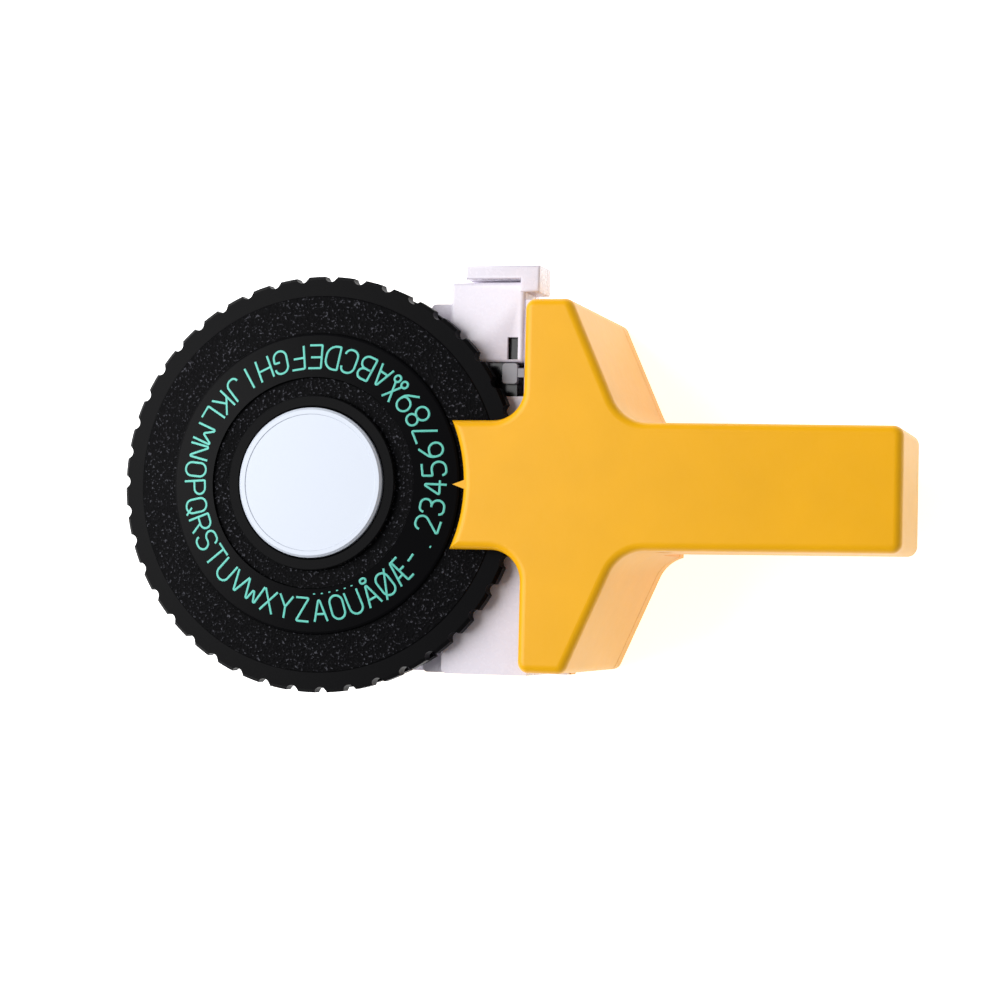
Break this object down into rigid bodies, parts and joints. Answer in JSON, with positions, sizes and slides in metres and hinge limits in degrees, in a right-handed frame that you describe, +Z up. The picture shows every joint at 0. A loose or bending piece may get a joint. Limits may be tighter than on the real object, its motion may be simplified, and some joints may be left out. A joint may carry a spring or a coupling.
{
  "type": "label maker",
  "caption": "Hand-squeezed embossing label maker with a toothed character wheel, tape housing, exit chute and two nested handles.",
  "frame": {"origin": "on the plane the label maker rests on, under the axis of the character wheel", "axes": "+X to the end of the handles, +Y the way the tape leaves, +Z up along the wheel's axis"},
  "size_m": [0.1253, 0.0678, 0.0406],
  "materials": {
    "yellow_abs": "moulded ABS, satin gloss",
    "white_abs": "moulded ABS, gloss",
    "acetal": "moulded acetal",
    "grey_acetal": "moulded acetal",
    "black_plastic": "moulded, spark-textured and smooth bands",
    "silver_cap": "satin anodised",
    "label_tape": "glossy vinyl tape",
    "roller_rubber": "soft rubber",
    "steel": "plain steel"
  },
  "bodies": {
    "frame": {"top_cover": "yellow_abs", "base_cover": "yellow_abs", "chassis": "white_abs", "exit_chute": "white_abs", "hold_down_finger": "grey_acetal", "wheel_spindle": "steel", "spindle_clip": "steel", "detent_spring": "steel", "feed_axle": "steel", "lever_pivot_pin": "steel", "lever_return_spring": "steel", "lever_stop_pin": "steel", "hammer_spring": "steel", "door_hinge_pin": "steel", "body_screws": "steel", "tape_strip": "label_tape"},
    "wheel": {"die_disc": "black_plastic", "punch_disc": "black_plastic", "wheel_hub": "black_plastic", "centre_cap": "silver_cap"},
    "lever": {"squeeze_lever": "yellow_abs"},
    "hammer": {"press_hammer": "steel"},
    "rack": {"feed_rack": "acetal"},
    "pinion": {"feed_pinion": "acetal"},
    "roller": {"feed_roller": "roller_rubber"},
    "cutter": {"cutter_slider": "acetal", "cutter_blade": "steel"},
    "tape_reel": {"tape_core": "white_abs", "tape_roll": "label_tape"},
    "door": {"tape_door": "white_abs"}
  },
  "joints": [
    {"name": "wheel_turn", "type": "hinge", "parent": "frame", "child": "wheel", "pos_m": [0, 0, 0.03], "axis": [0, 0, 1], "continuous": true, "deforming": ["detent_spring"]},
    {"name": "lever_squeeze", "type": "hinge", "parent": "frame", "child": "lever", "pos_m": [0.0105, 0, 0.009], "axis": [0, -1, 0], "range_deg": [0, 9], "stiffness_Nm_per_rad": 1.5, "springref_deg": -6.88, "deforming": ["lever_return_spring"]},
    {"name": "hammer_rise", "type": "slide", "parent": "frame", "child": "hammer", "axis": [0, 0, 1], "range_m": [0, 0.0026], "deforming": ["hammer_spring"]},
    {"name": "feed_rack_rise", "type": "slide", "parent": "frame", "child": "rack", "axis": [0, 0, 1], "range_m": [0, 0.0043]},
    {"name": "feed_pinion_turn", "type": "hinge", "parent": "frame", "child": "pinion", "pos_m": [0.0372, -0.0242, 0.0295], "axis": [1, 0, 0], "range_deg": [0, 122]},
    {"name": "feed_roller_turn", "type": "hinge", "parent": "frame", "child": "roller", "pos_m": [0.0273, -0.0242, 0.0295], "axis": [-1, 0, 0], "continuous": true},
    {"name": "cutter_rise", "type": "slide", "parent": "frame", "child": "cutter", "axis": [0, 0, 1], "range_m": [0, 0.0011], "stiffness_N_per_m": 400, "springref_m": -0.0005},
    {"name": "tape_unwind", "type": "hinge", "parent": "frame", "child": "tape_reel", "pos_m": [0.0265, -0.0162, 0.0174], "axis": [-1, 0, 0], "continuous": true},
    {"name": "door_swing", "type": "hinge", "parent": "frame", "child": "door", "pos_m": [0.0265, -0.0282, 0.0066], "axis": [1, 0, 0], "range_deg": [0, 85]}
  ],
  "couplings": [
    {"joint": "hammer_rise", "follows": "lever_squeeze", "m_per_rad": 0.015936},
    {"joint": "feed_rack_rise", "follows": "lever_squeeze", "m_per_rad": 0.0267},
    {"joint": "feed_pinion_turn", "follows": "lever_squeeze", "ratio": 13.35}
  ]
}
